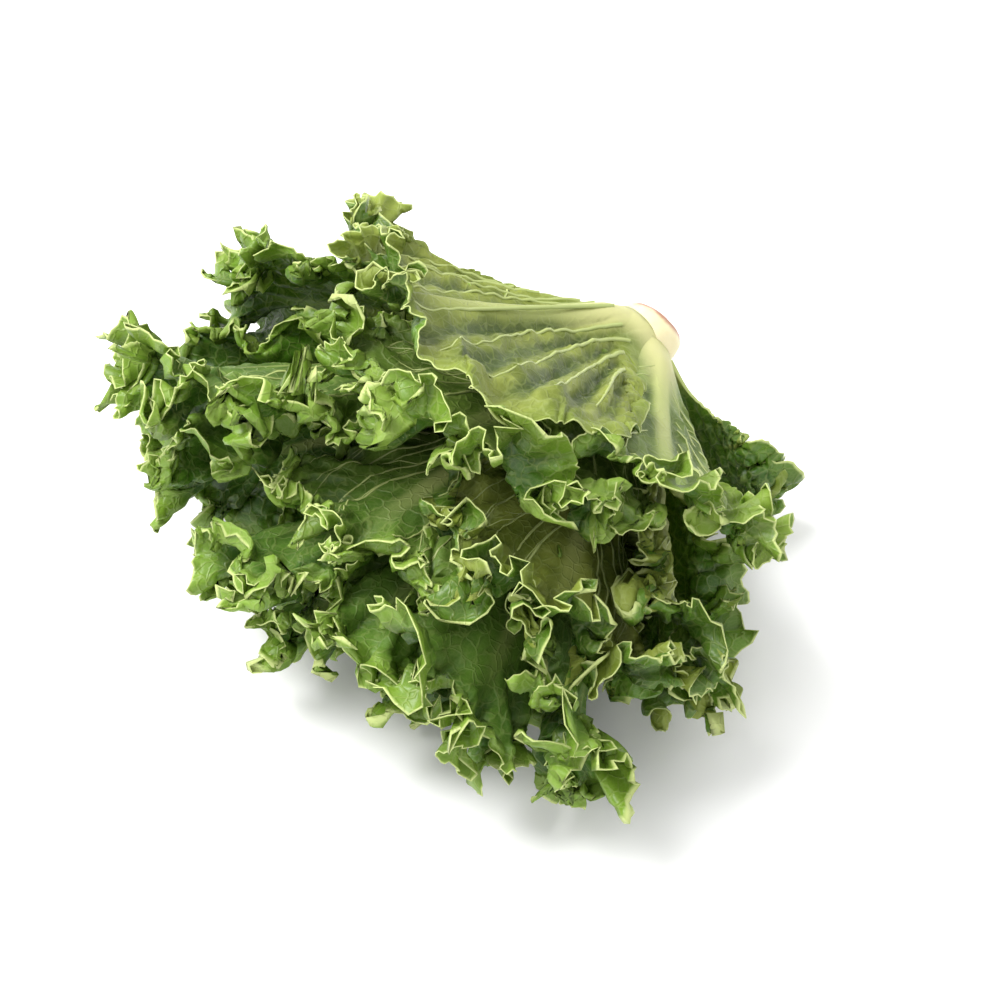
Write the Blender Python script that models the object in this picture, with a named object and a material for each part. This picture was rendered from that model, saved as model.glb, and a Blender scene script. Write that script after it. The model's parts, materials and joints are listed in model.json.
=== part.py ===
"""A head of green leaf lettuce, cut at the stem and lying on its side.

The head is a short tapered stem with its leaves set round it in a spiral. Each leaf
has its own layer, a nested cone that opens out towards the tips, and its edge waves
only as far as that layer allows, so no leaf runs through another.
"""

import math

import bpy
import numpy as np

# The leaves, in metres and radians, numbered from the outside in
LEAF_COUNT = 22
FIRST_AZIMUTH = math.radians(-20)
TURN_PER_LEAF = math.radians(-137.508)
OUTER_WIDTH = 0.210
HEART_WIDTH = 0.110
BLADE = 0.0008
RIB = 0.0050

# The waves of a leaf's edge: their length, how far in from the edge they start, how much of the
# room between layers they take up, and what is left of them where the head's weight is on them
WAVE_LENGTH = 0.040
FRILL_DEPTH = 0.060
WAVE_SHARE = 0.76
PRESSED_WAVE = 0.25
PRESSED_BELOW = 0.045

# How far the leaf tips reach from the butt, from those opened fully left to those opened fully right
REACH_SIDES = [-1.0, -0.8, -0.6, -0.3, 0.0, 0.35, 0.5, 0.7, 1.0]
REACH = [0.110, 0.150, 0.205, 0.222, 0.214, 0.212, 0.180, 0.130, 0.095]
UNDERSIDE_REACH = 0.80
# Leaves that grew longer or shorter than the rest, or stand a little round from their place
OWN_REACH = {
    0: 0.69, 1: 0.68, 2: 0.88, 3: 1.32, 4: 0.93, 5: 0.78, 6: 1.04, 7: 1.06,
    10: 0.86, 12: 1.10, 13: 0.92, 18: 0.95,
}
OWN_SHIFT_DEGREES = {2: -14, 3: -18, 4: 6, 5: -6, 7: 6, 8: -22, 10: 10, 12: -36, 15: -10, 18: -8}

# Leaves that lie smoother than the rest, by the share of the waves that they keep
OWN_WAVE = {0: 0.75, 2: 0.75}

# The second leaf has sprung open, out to the right of the rest
SPRUNG = 1
SPRUNG_AZIMUTH = math.radians(171)
SPRUNG_LAYER = 1.40
SPRUNG_ROOM = 0.09

# How the head lies: which way its axis runs and dips, and how wide it opens to each side
BUTT_HEIGHT = 0.090
AXIS_AZIMUTH = math.radians(230)
AXIS_DIP = math.radians(14)
OPEN_TOP = math.radians(50)
OPEN_RIGHT = math.radians(64)
OPEN_BOTTOM = math.radians(50)
OPEN_LEFT = math.radians(72)
OPEN_AT_STEM = 0.92
OPEN_BY = 0.150
FLOOR_SOFTNESS = 0.036
GROUND = 0.0086

AXIS = np.array([
    math.cos(AXIS_AZIMUTH) * math.cos(AXIS_DIP),
    math.sin(AXIS_AZIMUTH) * math.cos(AXIS_DIP),
    -math.sin(AXIS_DIP),
])
RIGHT = np.array([-math.sin(AXIS_AZIMUTH), math.cos(AXIS_AZIMUTH), 0.0])
ABOVE = np.cross(AXIS, RIGHT)

# The stem: a cut butt that tapers to the growing point
STEM_HEIGHTS = [0.0, 0.002, 0.008, 0.018, 0.030, 0.042, 0.054, 0.062]
STEM_RADII = [0.0118, 0.0132, 0.0140, 0.0142, 0.0128, 0.0095, 0.0052, 0.0015]
STEM_SIDES = 24
OUTER_ROOT = 0.009
HEART_ROOT = 0.056
ROOT_GAP = 0.0014

# A leaf's flat outline, evenly spaced from the tip down one side, in shares of half the width and
# of the length
OUTLINE_ACROSS = [0.0, 0.46, 0.82, 1.0, 0.95, 0.66, 0.28, 0.12]
OUTLINE_UP = [1.0, 0.985, 0.90, 0.74, 0.55, 0.36, 0.18, 0.0]
SPINE_SHARE = 0.80
MOST_HALF_TURN = math.radians(66)
# Rows of points from the midrib to the edge: share of the way out, and columns round the leaf
ROWS = [(0.0, 12), (0.10, 12), (0.42, 18), (0.70, 24), (0.87, 48), (1.0, 48)]


def ease(x):
    """0 below 0, 1 above 1, smooth between."""
    x = np.clip(x, 0.0, 1.0)
    return x * x * (3 - 2 * x)


def through(values, share):
    """A smooth curve through evenly spaced values, read at shares from 0 to 1."""
    values = np.asarray(values, float)
    padded = np.concatenate([[2 * values[0] - values[1]], values, [2 * values[-1] - values[-2]]])
    at = np.clip(share, 0, 1) * (len(values) - 1)
    k = np.minimum(at.astype(int), len(values) - 2)
    f = at - k
    a, b, c, d = (padded[k + n] for n in range(4))
    return 0.5 * (2 * b + (c - a) * f + (2 * a - 5 * b + 4 * c - d) * f**2 + (3 * b - 3 * c + d - a) * f**3)


def opening(azimuth):
    """How far from the axis the outermost layer opens at an azimuth, which runs from the top to the right."""
    up, right = np.cos(azimuth), np.sin(azimuth)
    return (
        up**2 * np.where(up > 0, OPEN_TOP, OPEN_BOTTOM)
        + right**2 * np.where(right > 0, OPEN_RIGHT, OPEN_LEFT)
    )


def layer_angle(layer, azimuth, out):
    return layer * opening(azimuth) * (OPEN_AT_STEM + (1 - OPEN_AT_STEM) * ease(out / OPEN_BY))


def root_height(layer):
    return HEART_ROOT + (OUTER_ROOT - HEART_ROOT) * np.minimum(layer, 1)


def root_radius(layer):
    return np.interp(root_height(layer), STEM_HEIGHTS, STEM_RADII) + ROOT_GAP


def place(layer, azimuth, out):
    """The point in a layer (0 at the heart, 1 outermost), at an azimuth and a distance out from the stem."""
    angle = layer_angle(layer, azimuth, out)
    radius = root_radius(layer) + out * np.sin(angle)
    along = root_height(layer) + out * np.cos(angle)
    return lie_down(along, radius, azimuth)


def lie_down(along, radius, azimuth):
    """From the head's own axis to the ground's frame; the ground presses up what would sink below it."""
    point = (
        along[..., None] * AXIS
        + (radius * np.cos(azimuth))[..., None] * ABOVE
        + (radius * np.sin(azimuth))[..., None] * RIGHT
    )
    height = BUTT_HEIGHT + point[..., 2]
    height = FLOOR_SOFTNESS * np.logaddexp(0, height / FLOOR_SOFTNESS) - GROUND
    point[..., 2] = np.maximum(height, BLADE / 2)
    return point


class Leaf:
    """One leaf: its layer, its size and its waves, by its number from the outside in."""

    def __init__(self, number):
        inward = number / (LEAF_COUNT - 1)
        draw = np.random.default_rng(100 + number)
        self.step = 0.93 / (LEAF_COUNT - 1)
        self.layer = 1 - self.step * number
        self.room = self.step * OWN_WAVE.get(number, 1.0)
        shift = math.radians(OWN_SHIFT_DEGREES.get(number, 0))
        self.azimuth = FIRST_AZIMUTH + number * TURN_PER_LEAF + shift
        if number == SPRUNG:
            self.layer = SPRUNG_LAYER
            self.room = SPRUNG_ROOM
            self.azimuth = SPRUNG_AZIMUTH
        angle = self.layer * opening(self.azimuth)
        side = angle * math.sin(self.azimuth) / max(OPEN_LEFT, OPEN_RIGHT)
        reach = np.interp(side, REACH_SIDES, REACH) * draw.uniform(0.96, 1.04)
        reach *= 1 - (1 - UNDERSIDE_REACH) * self.layer * max(0.0, -math.cos(self.azimuth)) ** 2
        reach *= OWN_REACH.get(number, 1.0)
        self.length = reach - root_height(self.layer) * math.cos(angle)
        self.half_width = 0.5 * (OUTER_WIDTH + (HEART_WIDTH - OUTER_WIDTH) * inward**1.5)
        girth = root_radius(self.layer) + 0.65 * self.length * math.sin(angle)
        self.half_width = min(self.half_width, 1.2 * MOST_HALF_TURN * girth)
        self.rib = RIB + (0.0008 - RIB) * ease(number / 9)
        self.phase, self.drift_phase = draw.uniform(0, 2 * math.pi, 2)
        edge = np.linspace(-1, 1, 401)
        across, up, _ = self.flat(edge, np.ones(401))
        self.run = np.concatenate([[0], np.cumsum(np.hypot(np.diff(across), np.diff(up)))])

    def flat(self, t, q):
        """Where on the flat leaf: t runs round the edge from -1 to 1 with 0 at the tip, q out from the midrib."""
        across = np.sign(t) * self.half_width * through(OUTLINE_ACROSS, np.abs(t))
        up = self.length * through(OUTLINE_UP, np.abs(t))
        spine = self.length * SPINE_SHARE * (1 - np.abs(t))
        return across * q, spine + (up - spine) * q, np.hypot(across, up - spine)

    def middle(self, t, q):
        """The leaf's middle surface, waved towards its edge within the room between layers."""
        x, y, span = self.flat(t, q)
        around = np.interp(t, np.linspace(-1, 1, 401), self.run)
        turns = round(self.run[-1] / WAVE_LENGTH) * around / self.run[-1]
        turns = turns + 0.12 * np.sin(2 * math.pi * around / 0.17 + self.drift_phase)
        growth = ease(1 - (1 - q) * span / np.minimum(FRILL_DEPTH, 0.95 * span))
        growth *= ease((y / self.length - 0.15) / 0.35)
        radius = root_radius(self.layer) + y * np.sin(layer_angle(self.layer, self.azimuth, y))
        turn = MOST_HALF_TURN * np.tanh(x / radius / MOST_HALF_TURN)
        room = self.room * (1.5 - ease((np.abs(turn) - 0.6) / 0.28))
        height = place(self.layer, self.azimuth + turn, y)[..., 2]
        growth *= PRESSED_WAVE + (1 - PRESSED_WAVE) * ease(height / PRESSED_BELOW)
        wave = np.sin(2 * math.pi * turns + self.phase)
        return place(self.layer + WAVE_SHARE * room * growth * wave, self.azimuth + turn, y)


def stitch(first, second):
    """Triangles between two rows of points, each spread evenly over the same run."""
    faces, i, j = [], 0, 0
    while i < len(first) - 1 or j < len(second) - 1:
        if i < len(first) - 1 and (i + 1) * (len(second) - 1) <= (j + 1) * (len(first) - 1):
            faces.append((first[i + 1], first[i], second[j]))
            i += 1
        else:
            faces.append((second[j + 1], first[i], second[j]))
            j += 1
    return [face for face in faces if len(set(face)) == 3]


def sheet(rows):
    """The points (t, q) of a leaf's surface and its triangles; the two halves share the midrib's points."""
    t, q, faces, above = [], [], [], None
    for share, columns in rows:
        if share == 0:
            row = [abs(k - columns // 2) for k in range(columns + 1)]
            t.extend(np.linspace(0, 1, columns // 2 + 1))
        else:
            row = list(range(len(t), len(t) + columns + 1))
            t.extend(np.linspace(-1, 1, columns + 1))
        q.extend([share] * (len(t) - len(q)))
        if above:
            faces.extend(stitch(above, row))
        above = row
    return np.array(t), np.array(q), np.array(faces)


def make_leaf(leaf):
    t, q, faces = sheet(ROWS)
    middle = leaf.middle(t, q)
    corners = middle[faces]
    across = np.cross(corners[:, 1] - corners[:, 0], corners[:, 2] - corners[:, 0])
    normals = np.zeros_like(middle)
    for k in range(3):
        np.add.at(normals, faces[:, k], across)
    normals /= np.linalg.norm(normals, axis=1)[:, None]
    x, y, _ = leaf.flat(t, q)
    rib = leaf.rib * (1 - y / leaf.length) ** 1.4 * np.maximum(0, 1 - (x / 0.011) ** 2)
    back = middle + normals * (BLADE / 2 + rib)[:, None]
    front = middle - normals * (BLADE / 2)
    count = len(middle)
    triangles = [tuple(face) for face in faces]
    skin = triangles + [(a + count, c + count, b + count) for a, b, c in triangles]
    edges = {(face[k], face[(k + 1) % 3]) for face in triangles for k in range(3)}
    for a, b in sorted(edges):
        if (b, a) not in edges:
            skin.append((b, a, a + count))
            skin.append((b, a + count, b + count))
    return np.concatenate([back, front]), skin


def make_stem():
    turns = np.arange(STEM_SIDES) * 2 * math.pi / STEM_SIDES
    rings = [
        lie_down(np.full(STEM_SIDES, height), np.full(STEM_SIDES, radius), turns)
        for height, radius in zip(STEM_HEIGHTS, STEM_RADII)
    ]
    faces = [tuple(range(STEM_SIDES))]
    for ring in range(len(rings) - 1):
        for k in range(STEM_SIDES):
            a = ring * STEM_SIDES + k
            b = ring * STEM_SIDES + (k + 1) % STEM_SIDES
            faces.append((a, a + STEM_SIDES, b + STEM_SIDES, b))
    last = len(rings) * STEM_SIDES
    faces.append(tuple(range(last - 1, last - 1 - STEM_SIDES, -1)))
    return np.concatenate(rings), faces


def add(name, points, faces, colour, roughness):
    mesh = bpy.data.meshes.new(name)
    mesh.from_pydata(points.tolist(), [], faces)
    mesh.update()
    mesh.polygons.foreach_set("use_smooth", [True] * len(mesh.polygons))
    material = bpy.data.materials.new(name)
    material.use_nodes = True
    shader = material.node_tree.nodes["Principled BSDF"]
    shader.inputs["Base Color"].default_value = (*colour, 1)
    shader.inputs["Roughness"].default_value = roughness
    mesh.materials.append(material)
    obj = bpy.data.objects.new(name, mesh)
    bpy.context.scene.collection.objects.link(obj)


def main():
    for obj in list(bpy.data.objects):
        bpy.data.objects.remove(obj)
    pieces = {"stem": make_stem()}
    for number in range(LEAF_COUNT):
        pieces[f"leaf_{number + 1:02d}"] = make_leaf(Leaf(number))
    everything = np.concatenate([points for points, _ in pieces.values()])
    low, high = everything.min(axis=0), everything.max(axis=0)
    base = np.array([(low[0] + high[0]) / 2, (low[1] + high[1]) / 2, 0.0])
    for name, (points, faces) in pieces.items():
        points = points - base
        points[:, 2] = np.maximum(points[:, 2], 0)
        if name == "stem":
            add(name, points, faces, (0.71, 0.61, 0.35), 0.45)
        else:
            add(name, points, faces, (0.13, 0.24, 0.05), 0.5)


main()
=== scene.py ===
"""A head of green leaf lettuce, cut at the stem and lying on its side on a white table.

The leaves open out of a pale butt in a spiral. Each keeps the layer and the large waves it has in
the CAD model, and adds the finer ruffles, teeth, veins and fleshy bases of a real leaf.
"""

import json
import math

import bpy
import numpy as np
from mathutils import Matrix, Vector

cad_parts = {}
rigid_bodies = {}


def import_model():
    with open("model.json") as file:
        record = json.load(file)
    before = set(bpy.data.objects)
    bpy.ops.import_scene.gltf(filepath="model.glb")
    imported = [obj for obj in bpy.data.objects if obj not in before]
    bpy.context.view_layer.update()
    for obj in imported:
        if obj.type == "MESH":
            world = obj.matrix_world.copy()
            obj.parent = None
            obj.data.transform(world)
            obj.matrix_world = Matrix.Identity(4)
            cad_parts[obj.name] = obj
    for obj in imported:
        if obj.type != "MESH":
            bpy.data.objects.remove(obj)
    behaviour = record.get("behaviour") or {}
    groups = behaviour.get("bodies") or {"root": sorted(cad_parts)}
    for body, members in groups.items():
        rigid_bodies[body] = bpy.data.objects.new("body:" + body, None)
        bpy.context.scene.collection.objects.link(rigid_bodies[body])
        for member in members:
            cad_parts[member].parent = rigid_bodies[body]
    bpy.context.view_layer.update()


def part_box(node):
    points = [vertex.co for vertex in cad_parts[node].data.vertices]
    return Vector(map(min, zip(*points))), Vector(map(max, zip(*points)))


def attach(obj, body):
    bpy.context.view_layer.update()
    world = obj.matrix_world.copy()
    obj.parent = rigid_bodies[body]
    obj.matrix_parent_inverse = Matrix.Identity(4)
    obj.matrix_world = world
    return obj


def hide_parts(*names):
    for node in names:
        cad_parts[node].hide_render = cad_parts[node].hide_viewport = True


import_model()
for thing in list(bpy.data.objects):
    if thing.type in ("CAMERA", "LIGHT"):
        bpy.data.objects.remove(thing)


# The stem
# The short, solid core that the leaves grow from, cut through with a knife at the butt.
# The cut is wet, cream-white flesh, and its rim has turned reddish brown in the air.

# The head's axis runs from the butt towards the tips, in metres and radians
BUTT_HEIGHT = 0.090
AXIS_AZIMUTH = math.radians(230)
AXIS_DIP = math.radians(14)
FLOOR_SOFTNESS = 0.036
GROUND = 0.0086
BLADE = 0.0008
AXIS = np.array([
    math.cos(AXIS_AZIMUTH) * math.cos(AXIS_DIP),
    math.sin(AXIS_AZIMUTH) * math.cos(AXIS_DIP),
    -math.sin(AXIS_DIP),
])
RIGHT = np.array([-math.sin(AXIS_AZIMUTH), math.cos(AXIS_AZIMUTH), 0.0])
ABOVE = np.cross(AXIS, RIGHT)
TURN_PER_LEAF = math.radians(-137.508)
STEM_HEIGHTS = [0.0, 0.002, 0.008, 0.018, 0.030, 0.042, 0.054, 0.062]
STEM_RADII = [0.0118, 0.0132, 0.0140, 0.0142, 0.0128, 0.0095, 0.0052, 0.0015]
STEM_SIDES = 96
CAD_STEM_SIDES = 24
# Rings on the cut face, as shares of its radius, and rings up the side, in metres
CUT_RINGS = [0.08, 0.25, 0.42, 0.58, 0.72, 0.84, 0.93, 0.985]
SIDE_RINGS = np.concatenate([[0.0, 0.0006, 0.0013], np.linspace(0.002, 0.062, 40)])
CUT_DISH = 0.0005
CUT_RIPPLE = 0.00025
CUT_MIDDLE = 0.0006
GROWING_POINT = 0.0625
# The bases of the lowest leaves swell the stem's side: how many, how wide in radians, by what share
SHEATHING_BASES = 7
BASE_HALF_WIDTH = 0.42
BASE_SWELL = 0.11
BASES_UP_TO = 0.024


def ease(x):
    """A smooth rise from 0 to 1 as x goes from 0 to 1."""
    x = np.clip(x, 0.0, 1.0)
    return x * x * (3 - 2 * x)


def lie_down(along, radius, azimuth):
    """From the head's own axis to the table's frame; the table presses up what would sink below it."""
    point = (
        along[..., None] * AXIS
        + (radius * np.cos(azimuth))[..., None] * ABOVE
        + (radius * np.sin(azimuth))[..., None] * RIGHT
    )
    height = BUTT_HEIGHT + point[..., 2]
    height = FLOOR_SOFTNESS * np.logaddexp(0, height / FLOOR_SOFTNESS) - GROUND
    point[..., 2] = np.maximum(height, BLADE / 2)
    return point


def make_mesh(name, points, faces, facts):
    """A smooth mesh from points and faces, with one number for each point under each name in facts."""
    mesh = bpy.data.meshes.new(name)
    mesh.from_pydata(points.tolist(), [], faces)
    mesh.update()
    mesh.polygons.foreach_set("use_smooth", [True] * len(mesh.polygons))
    for key, values in facts.items():
        layer = mesh.attributes.new(key, "FLOAT", "POINT")
        layer.data.foreach_set("value", np.asarray(values, np.float32))
    piece = bpy.data.objects.new(name, mesh)
    bpy.context.scene.collection.objects.link(piece)
    return piece


def linear(code):
    """An sRGB hex colour as linear RGBA."""
    parts = [int(code[k:k + 2], 16) / 255 for k in (1, 3, 5)]
    return [p / 12.92 if p <= 0.04045 else ((p + 0.055) / 1.055) ** 2.4 for p in parts] + [1.0]


def add_node(tree, kind, settings=None, links=None):
    """One node; settings go to its sockets where a socket has that name or number, links join sockets."""
    node = tree.nodes.new(kind)
    for key, value in (settings or {}).items():
        if isinstance(key, int) or key in node.inputs:
            node.inputs[key].default_value = value
        else:
            setattr(node, key, value)
    for key, source in (links or {}).items():
        tree.links.new(source, node.inputs[key])
    return node


def new_material(name):
    """An empty material and its node tree."""
    material = bpy.data.materials.new(name)
    material.use_nodes = True
    material.node_tree.nodes.clear()
    return material, material.node_tree


turns = np.arange(STEM_SIDES) * 2 * math.pi / STEM_SIDES
low_corner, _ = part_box("stem")
coarse = np.arange(CAD_STEM_SIDES) * 2 * math.pi / CAD_STEM_SIDES
cad_rings = [
    lie_down(np.full(CAD_STEM_SIDES, height), np.full(CAD_STEM_SIDES, radius), coarse)
    for height, radius in zip(STEM_HEIGHTS, STEM_RADII)
]
BASE = np.concatenate(cad_rings).min(axis=0) - np.array(low_corner)
BASE[2] = 0.0

rings, rim_depth, on_cut = [], [], []
for share in CUT_RINGS:
    dished = CUT_DISH * math.cos(share * math.pi / 2) + CUT_RIPPLE * np.sin(5 * turns + 9 * share)
    rings.append(lie_down(dished, np.full(STEM_SIDES, share * STEM_RADII[0]), turns))
    rim_depth += [(1 - share) * STEM_RADII[0] * 1000] * STEM_SIDES
    on_cut += [1.0] * STEM_SIDES
for height in SIDE_RINGS:
    radius = np.interp(height, STEM_HEIGHTS, STEM_RADII)
    uneven = 1 + 0.02 * np.sin(3 * turns + 1) + 0.012 * np.sin(7 * turns + height * 200)
    reach = ease((height + 0.001) / 0.006) * ease((BASES_UP_TO - height) / 0.012)
    for number in range(SHEATHING_BASES):
        off = (turns - number * TURN_PER_LEAF + math.pi) % (2 * math.pi) - math.pi
        uneven = uneven + BASE_SWELL * np.exp(-(off / BASE_HALF_WIDTH) ** 2) * reach
    rings.append(lie_down(np.full(STEM_SIDES, height), radius * uneven, turns))
    rim_depth += [height * 1000] * STEM_SIDES
    on_cut += [0.0] * STEM_SIDES
rings.append(lie_down(np.array([CUT_MIDDLE, GROWING_POINT]), np.zeros(2), np.zeros(2)))
rim_depth += [STEM_RADII[0] * 1000, GROWING_POINT * 1000]
on_cut += [1.0, 0.0]
stem_points = np.concatenate(rings) - BASE
stem_faces = []
last_ring = len(rings) - 2
for ring in range(last_ring):
    for k in range(STEM_SIDES):
        a, b = ring * STEM_SIDES + k, ring * STEM_SIDES + (k + 1) % STEM_SIDES
        stem_faces.append((a, a + STEM_SIDES, b + STEM_SIDES, b))
last = last_ring * STEM_SIDES
for k in range(STEM_SIDES):
    follower = (k + 1) % STEM_SIDES
    stem_faces.append((len(stem_points) - 2, k, follower))
    stem_faces.append((len(stem_points) - 1, last + follower, last + k))
stem = make_mesh("stem_flesh", stem_points, stem_faces, {"rim": rim_depth, "cut": on_cut})

# Cut lettuce stem: wet, faintly translucent flesh, cream at the core, browned by the air at its rim
# The cloudy grain of the flesh, and how far in from the rim the air has browned it, in millimetres
FLESH_CLOUD_MM = 3.846
BROWNED_MM = (1.6, 4.4)
BROWNING_UNEVEN_MM = 2.2
BROWNED_MOST = 0.9

stem_material, tree = new_material("cut_stem_flesh")
where = add_node(tree, "ShaderNodeTexCoord").outputs["Object"]
cloud = add_node(
    tree, "ShaderNodeTexNoise", {"Scale": 1000 / FLESH_CLOUD_MM, "Detail": 4.0}, {"Vector": where}
).outputs[0]
rim = add_node(tree, "ShaderNodeAttribute", {"attribute_name": "rim"}).outputs["Fac"]
on_the_cut = add_node(tree, "ShaderNodeAttribute", {"attribute_name": "cut"}).outputs["Fac"]
from_rim = add_node(
    tree, "ShaderNodeMath", {"operation": "MULTIPLY_ADD", 1: BROWNING_UNEVEN_MM}, {0: cloud, 2: rim}
).outputs[0]
browned = add_node(
    tree,
    "ShaderNodeMapRange",
    {"interpolation_type": "SMOOTHSTEP", 1: BROWNED_MM[0], 2: BROWNED_MM[1], 3: BROWNED_MOST, 4: 0.0},
    {0: from_rim},
).outputs[0]
flesh = add_node(
    tree, "ShaderNodeMix", {"data_type": "RGBA", 6: linear("#d8cd9c"), 7: linear("#e4dab6")}, {0: cloud}
).outputs[2]
for share, code in ((on_the_cut, "#f3e2c4"), (browned, "#9a5232")):
    flesh = add_node(
        tree, "ShaderNodeMix", {"data_type": "RGBA", 7: linear(code)}, {0: share, 6: flesh}
    ).outputs[2]
grain = add_node(
    tree, "ShaderNodeBump", {"Strength": 0.35, "Distance": 0.0006}, {"Height": cloud}
).outputs[0]
soaked = {"Subsurface Weight": 0.15, "Subsurface Radius": (0.004, 0.003, 0.0015), "Subsurface Scale": 1.0}
shader = add_node(
    tree, "ShaderNodeBsdfPrincipled", {"Roughness": 0.38, **soaked}, {"Base Color": flesh, "Normal": grain}
)
add_node(tree, "ShaderNodeOutputMaterial", None, {"Surface": shader.outputs[0]})
stem.data.materials.append(stem_material)
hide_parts("stem")
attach(stem, "root")


# The leaves
# Twenty-two soft, watery blades that sheathe the stem one after another in a spiral, each
# stiffened by a fleshy midrib. The margin has grown several times longer than the leaf is
# round, so it buckles into ruffles on ruffles, with small teeth along its very edge.

# The layers, the sizes and the large waves are the CAD model's, in metres and radians
LEAF_COUNT = 22
LAYERS_SPAN = 0.93
FIRST_AZIMUTH = math.radians(-20)
OUTER_WIDTH = 0.210
HEART_WIDTH = 0.110
WAVE_LENGTH = 0.040
FRILL_DEPTH = 0.060
WAVE_SHARE = 0.76
WAVE_FROM = 0.15
WAVE_DRIFT = 0.12
WAVE_DRIFT_LENGTH = 0.17
PRESSED_WAVE = 0.25
PRESSED_BELOW = 0.045
REACH_SIDES = [-1.0, -0.8, -0.6, -0.3, 0.0, 0.35, 0.5, 0.7, 1.0]
REACH = [0.110, 0.150, 0.205, 0.222, 0.214, 0.212, 0.180, 0.130, 0.095]
UNDERSIDE_REACH = 0.80
# Leaves whose reach, place round the head or waves differ from the rule's
OWN_REACH = {
    0: 0.69, 1: 0.68, 2: 0.88, 3: 1.32, 4: 0.93, 5: 0.78, 6: 1.04, 7: 1.06,
    10: 0.86, 12: 1.10, 13: 0.92, 18: 0.95,
}
OWN_SHIFT_DEGREES = {2: -14, 3: -18, 4: 6, 5: -6, 7: 6, 8: -22, 10: 10, 12: -36, 15: -10, 18: -8}
OWN_WAVE = {0: 0.75, 2: 0.75}
# The leaf that has sprung open away from the head
SPRUNG = 1
SPRUNG_AZIMUTH = math.radians(171)
SPRUNG_LAYER = 1.40
SPRUNG_ROOM = 0.09
# How far the outermost layer opens on each side, and how much of that at the stem
OPEN_TOP = math.radians(50)
OPEN_RIGHT = math.radians(64)
OPEN_BOTTOM = math.radians(50)
OPEN_LEFT = math.radians(72)
OPEN_AT_STEM = 0.92
OPEN_BY = 0.150
OUTER_ROOT = 0.009
HEART_ROOT = 0.056
ROOT_GAP = 0.0014
# The flat leaf's outline from the tip to the base, in shares of its half width and its length
OUTLINE_ACROSS = [0.0, 0.46, 0.82, 1.0, 0.95, 0.66, 0.28, 0.12]
OUTLINE_UP = [1.0, 0.985, 0.90, 0.74, 0.55, 0.36, 0.18, 0.0]
SPINE_SHARE = 0.80
WIDEST_UP = 0.65
MOST_HALF_TURN = math.radians(66)
EDGE_SAMPLES = 401
LEAF_SEED = 100

# How far apart the lobes and the teeth are along the margin, how tall, how deep they reach, in metres
RUFFLE_SEED = 500
LOBE = (0.036, 0.0110, 0.045)
TOOTH = (0.0070, 0.0029, 0.006)
# The gathers, from large folds over the ruffles on them to the crimps: how far apart they are on the
# smooth leaf, how steeply they swing from side to side in radians, and how deep they reach
GATHERS = [(0.0235, 1.42, 0.076), (0.0083, 1.32, 0.044), (0.0042, 0.60, 0.013)]
# How deep the margin's outward curl is, how steep in radians, and how far it leans out where it can
CURL = (0.034, 1.1, 0.010)
# Leaves whose margin stops short of the solid's edge, or runs on past it, on either side, in metres
OWN_TRIM = {
    0: (0.022, -0.010), 1: (0.015, 0.008), 2: (-0.004, 0.017), 3: (-0.008, 0.017), 4: (0.024, 0.016),
    6: (0.006, -0.012), 7: (0.010, 0.002), 8: (-0.002, -0.002), 9: (0.010, 0.012), 10: (0.000, 0.008),
    11: (0.000, -0.012), 12: (0.008, -0.002), 14: (0.020, 0.010), 16: (0.004, -0.008), 17: (0.012, 0.010),
    19: (0.016, 0.012), 20: (0.010, 0.010), 21: (0.012, 0.012),
}
# Leaves whose margin leans out by an amount of their own, in metres
OWN_LEAN = {3: 0.0, 8: 0.030}
# Leaves with one side that lies smooth and tucks under, by side and by how much
TUCKED = {0: (1, 1.0), 2: (-1, 0.6)}
TUCK_DEPTH = 0.009
# How tall and how far apart the blisters between the veins are, in metres
BLISTER = (0.0013, 0.014)
# A blade lies smooth up to this share of its length, the outermost ones for longer, and its frill is
# quite free a further share up
SMOOTH_AT_BASE = 0.12
SMOOTH_UP_TO = {0: 0.58, 2: 0.45, 7: 0.30, 1: 0.30}
FREE_WITHIN = 0.3
# Leaves whose margin curls less
OWN_CURL = {0: 0.6, 2: 0.4, 7: 0.7}
# Near the table the frill is pressed to this share, up to this height in metres
PRESSED_FRILL = 0.3
PRESSED_FRILL_BELOW = 0.030
LOWEST = 0.0006
# The most that a blade stands off its layer where no neighbour is near, in metres
MOST_ROOM = 0.05
# How tall the lengthwise pleats are, how far apart, how they sway and fan out up the leaf, in metres
PLEAT = {0: 0.0024, 2: 0.0016, 5: 0.0012, 7: 0.0020, 1: 0.0015}
LOW_PLEAT = 0.0008
TALLEST_PLEAT = 0.0024
PLEAT_APART = 0.019
PLEAT_SWAY = 0.030
PLEAT_FAN = 0.140
# How far below the layer the pleats lie, in shares of their height
SUNK = {0: 1.6}
# How pale and matt the outer face is, leaf by leaf: partly the outer face's own paler green, partly painted
# light, raised on leaves that the lighting leaves too dark
PALE = {0: 1.0, 1: 0.8, 2: 0.4, 7: 1.0, 5: 0.25, 3: 0.3, 4: 0.6, 6: 0.4, 9: 0.4, 8: 0.15, 10: 1.0, 13: 0.15}
LEAF_THICKNESS = 0.00045
# How tall the midrib and the sheathing base stand, on the outermost leaf and in the heart, and how
# wide the rib is and how high the base, in metres; the heart's sizes begin at this leaf
RIB_TALL = (0.0043, 0.0016)
SHEATH_TALL = (0.0016, 0.0008)
RIB_HALF_WIDTH = 0.0085
SHEATH_HIGH = 0.030
HEART_FROM = 9
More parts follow.
